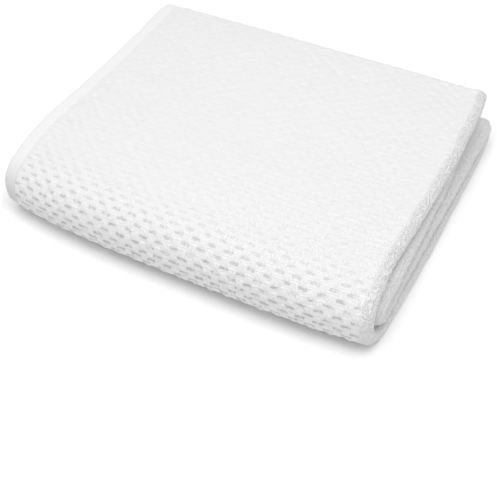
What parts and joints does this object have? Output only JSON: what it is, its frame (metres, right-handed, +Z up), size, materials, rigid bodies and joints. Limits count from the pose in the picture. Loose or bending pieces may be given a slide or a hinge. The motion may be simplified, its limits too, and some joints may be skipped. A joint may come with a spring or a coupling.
{
  "type": "folded waffle bath towel",
  "caption": "White cotton waffle-weave bath towel, doubled across its width and folded into a soft flat pile with a broad rounded front fold and plain hems.",
  "frame": {"origin": "middle of the footprint, on the surface that the folded towel lies on", "axes": "+Z up; -Y towards the broad rounded fold at the front; +X towards the fold of the doubled width, -X towards the two long hems; +Y towards the back, where the short hems lie"},
  "size_m": [0.398, 0.339, 0.0638],
  "materials": {
    "cotton": "matte white cotton waffle weave"
  },
  "bodies": {
    "root": {"towel": "cotton"}
  },
  "joints": []
}
